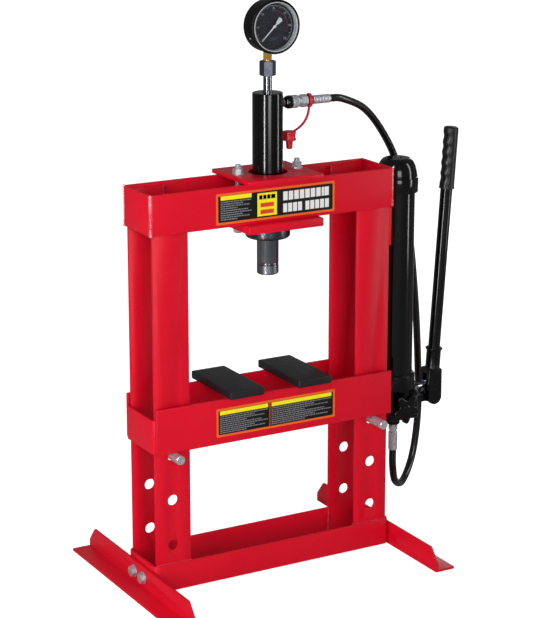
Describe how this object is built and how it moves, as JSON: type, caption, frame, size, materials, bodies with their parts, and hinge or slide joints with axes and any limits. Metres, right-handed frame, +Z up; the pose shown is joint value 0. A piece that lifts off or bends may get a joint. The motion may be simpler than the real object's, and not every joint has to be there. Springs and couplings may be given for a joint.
{
  "type": "hydraulic shop press",
  "caption": "Bench hydraulic shop press: red plate frame, liftable bed with arbor plates, ram with gauge, and a side hand pump with hose.",
  "frame": {"origin": "centre of the base of the whole press, pump lever included, on the floor", "axes": "+X to the right, pump side; +Y to the back; +Z up; the front faces -Y"},
  "size_m": [0.72, 0.432, 1.0597],
  "materials": {
    "red_paint": "glossy red paint",
    "zinc": "bright zinc plate",
    "black_paint": "glossy black paint",
    "chrome": "hard chrome, polished",
    "dark_steel": "blued steel, semi-gloss",
    "arbor_steel": "dark oiled steel, satin",
    "brass": "bright turned brass",
    "black_rubber": "satin black rubber",
    "red_plastic": "soft red plastic, satin",
    "dial_blue": "dark blue dial print",
    "pale_grey": "pale grey paint",
    "glass": "clear gauge glass"
  },
  "bodies": {
    "frame": {"base_front": "red_paint", "base_back": "red_paint", "base_end_left": "red_paint", "base_end_right": "red_paint", "foot_left": "red_paint", "foot_right": "red_paint", "foot_bolts_left": "zinc", "foot_bolts_right": "zinc", "upright_front_left": "red_paint", "upright_front_right": "red_paint", "upright_back_left": "red_paint", "upright_back_right": "red_paint", "beam_front": "red_paint", "beam_back": "red_paint", "beam_end_left": "red_paint", "beam_end_right": "red_paint", "pump_bracket": "red_paint", "ram_plate_top": "red_paint", "ram_plate_bottom": "red_paint", "clamp_stud_left": "zinc", "clamp_stud_right": "zinc", "cylinder_body": "black_paint", "lock_ring": "zinc", "gauge_adapter": "chrome", "gauge_nut": "dark_steel", "gauge_stem": "brass", "gauge_case": "black_paint", "gauge_dial": "dial_blue", "gauge_glass": "glass", "coupler_nipple": "chrome", "coupler_ring": "black_rubber", "coupler_body": "zinc", "hose_ferrule_upper": "zinc", "hose_ferrule_lower": "zinc", "hose": "black_rubber", "pump_reservoir": "black_paint", "pump_cap": "black_paint", "pump_body": "black_paint", "lever_pivot_pin": "zinc"},
    "ram": {"ram_rod": "chrome", "ram_cap": "dark_steel", "return_spring": "dark_steel"},
    "bed": {"bed_front": "red_paint", "bed_back": "red_paint", "bed_end_left": "red_paint", "bed_end_right": "red_paint"},
    "arbor_left": {"arbor_plate_left": "arbor_steel"},
    "arbor_right": {"arbor_plate_right": "arbor_steel"},
    "pin_left": {"support_pin_left": "zinc"},
    "pin_right": {"support_pin_right": "zinc"},
    "lever": {"lever_casting": "black_paint", "plunger_pin": "zinc", "handle_tube": "black_paint", "handle_grip": "black_rubber"},
    "plunger": {"pump_plunger": "chrome"},
    "release_valve": {"release_knob": "black_paint"},
    "needle": {"gauge_needle": "pale_grey"},
    "sleeve": {"coupler_sleeve": "zinc"},
    "dust_cap": {"dust_cap": "red_plastic"}
  },
  "joints": [
    {"name": "ram_slide", "type": "slide", "parent": "frame", "child": "ram", "axis": [0, 0, -1], "range_m": [-0.045, 0.09], "deforming": ["return_spring"]},
    {"name": "bed_lift", "type": "slide", "parent": "frame", "child": "bed", "axis": [0, 0, 1], "range_m": [0, 0.0855]},
    {"name": "arbor_left_slide", "type": "slide", "parent": "bed", "child": "arbor_left", "axis": [-1, 0, 0], "range_m": [-0.03, 0.06]},
    {"name": "arbor_right_slide", "type": "slide", "parent": "bed", "child": "arbor_right", "axis": [1, 0, 0], "range_m": [-0.03, 0.06]},
    {"name": "pin_left_slide", "type": "slide", "parent": "frame", "child": "pin_left", "axis": [0, -1, 0], "range_m": [0, 0.14]},
    {"name": "pin_right_slide", "type": "slide", "parent": "frame", "child": "pin_right", "axis": [0, -1, 0], "range_m": [0, 0.14]},
    {"name": "lever_swing", "type": "hinge", "parent": "frame", "child": "lever", "pos_m": [0.31084, 0, 0.2655], "axis": [0, 1, 0], "range_deg": [-5, 35]},
    {"name": "plunger_slide", "type": "slide", "parent": "frame", "child": "plunger", "axis": [1, 0, 0], "range_m": [-0.0021, 0.014]},
    {"name": "release_knob_turn", "type": "hinge", "parent": "frame", "child": "release_valve", "pos_m": [0.22084, -0.0475, 0.2665], "axis": [0, -1, 0], "range_deg": [0, 270]},
    {"name": "gauge_needle_turn", "type": "hinge", "parent": "frame", "child": "needle", "pos_m": [-0.05416, -0.0248, 1.0112], "axis": [0, 1, 0], "range_deg": [0, 270], "stiffness_Nm_per_rad": 0.002},
    {"name": "coupler_sleeve_slide", "type": "slide", "parent": "frame", "child": "sleeve", "axis": [1, 0, 0], "range_m": [0, 0.005], "stiffness_N_per_m": 500},
    {"name": "dust_cap_swing", "type": "hinge", "parent": "frame", "child": "dust_cap", "pos_m": [0.03244, 0, 0.8695], "axis": [1, 0, 0], "range_deg": [-60, 60]}
  ],
  "couplings": [
    {"joint": "plunger_slide", "follows": "lever_swing", "m_per_rad": 0.0226}
  ]
}
